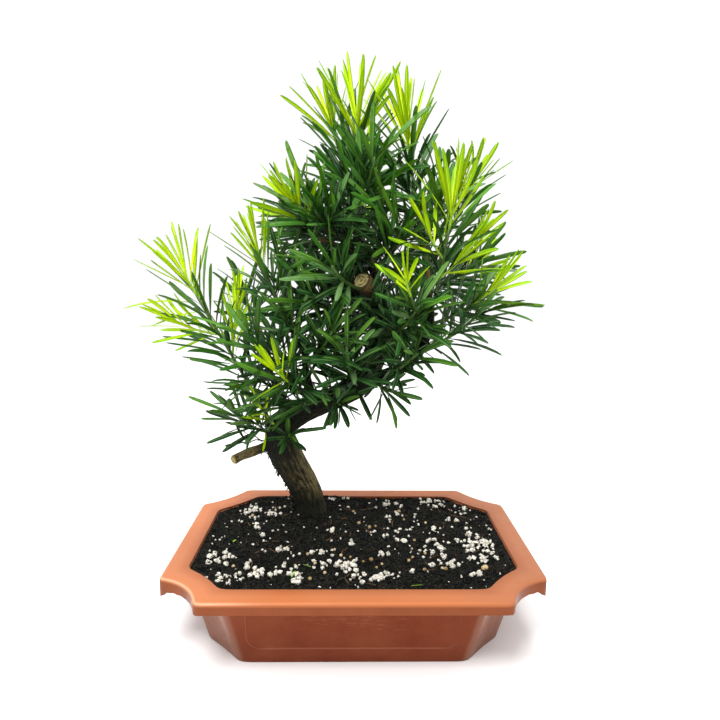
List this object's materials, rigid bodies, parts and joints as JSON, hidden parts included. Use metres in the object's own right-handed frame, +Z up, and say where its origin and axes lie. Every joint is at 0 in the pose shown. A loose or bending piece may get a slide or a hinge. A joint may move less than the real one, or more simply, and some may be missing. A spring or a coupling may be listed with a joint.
{
  "type": "buddhist pine bonsai",
  "caption": "Small evergreen conifer grown as a bonsai, with a bent trunk and long narrow leaves, in a shallow rectangular plastic tray pot with scooped corners.",
  "frame": {"origin": "centre of the pot's flat underside, which rests on the surface below", "axes": "+Z up, +X to the right along the pot's long side, -Y towards the viewer of the front"},
  "size_m": [0.3522, 0.3133, 0.5008],
  "materials": {
    "pot_plastic": "satin",
    "potting_soil": "matte",
    "bark": "matte",
    "leaf_mature": "satin",
    "leaf_new": "satin"
  },
  "bodies": {
    "root": {"pot": "pot_plastic", "shoot_back_crown": "leaf_mature", "shoot_back_crown_new": "leaf_new", "shoot_back_left": "leaf_mature", "shoot_back_left_low": "leaf_mature", "shoot_back_left_top": "leaf_mature", "shoot_back_left_top_new": "leaf_new", "shoot_back_low": "leaf_mature", "shoot_back_mid": "leaf_mature", "shoot_back_mid_new": "leaf_new", "shoot_back_right": "leaf_mature", "shoot_back_right_top": "leaf_mature", "shoot_centre_left": "leaf_mature", "shoot_centre_right": "leaf_mature", "shoot_centre_upper": "leaf_mature", "shoot_crown": "leaf_mature", "shoot_crown_left": "leaf_mature", "shoot_crown_left_new": "leaf_new", "shoot_crown_new": "leaf_new", "shoot_crown_right": "leaf_mature", "shoot_crown_right_new": "leaf_new", "shoot_front_crown": "leaf_mature", "shoot_front_left": "leaf_mature", "shoot_front_left_new": "leaf_new", "shoot_front_low": "leaf_mature", "shoot_front_low_right": "leaf_mature", "shoot_front_mid": "leaf_mature", "shoot_front_right": "leaf_mature", "shoot_front_right_new": "leaf_new", "shoot_front_upper_new": "leaf_new", "shoot_inner_left": "leaf_mature", "shoot_left_inner": "leaf_mature", "shoot_left_inner_new": "leaf_new", "shoot_left_low": "leaf_mature", "shoot_left_top": "leaf_mature", "shoot_left_top_new": "leaf_new", "shoot_long_left": "leaf_mature", "shoot_long_left_new": "leaf_new", "shoot_long_left_side_new": "leaf_new", "shoot_long_left_up_new": "leaf_new", "shoot_low_left": "leaf_mature", "shoot_low_tip_new": "leaf_new", "shoot_right_back": "leaf_mature", "shoot_right_back_low": "leaf_mature", "shoot_right_back_low_new": "leaf_new", "shoot_right_back_new": "leaf_new", "shoot_right_front": "leaf_mature", "shoot_right_front_new": "leaf_new", "shoot_right_low": "leaf_mature", "shoot_right_outer": "leaf_mature", "shoot_right_outer_new": "leaf_new", "shoot_right_side": "leaf_mature", "shoot_right_upper_new": "leaf_new", "shoot_trunk_tuft": "leaf_mature", "shoot_under_left": "leaf_mature", "shoot_under_right": "leaf_mature", "shoot_upper_front": "leaf_mature", "shoot_upper_right": "leaf_mature", "soil": "potting_soil", "trunk": "bark"}
  },
  "joints": []
}
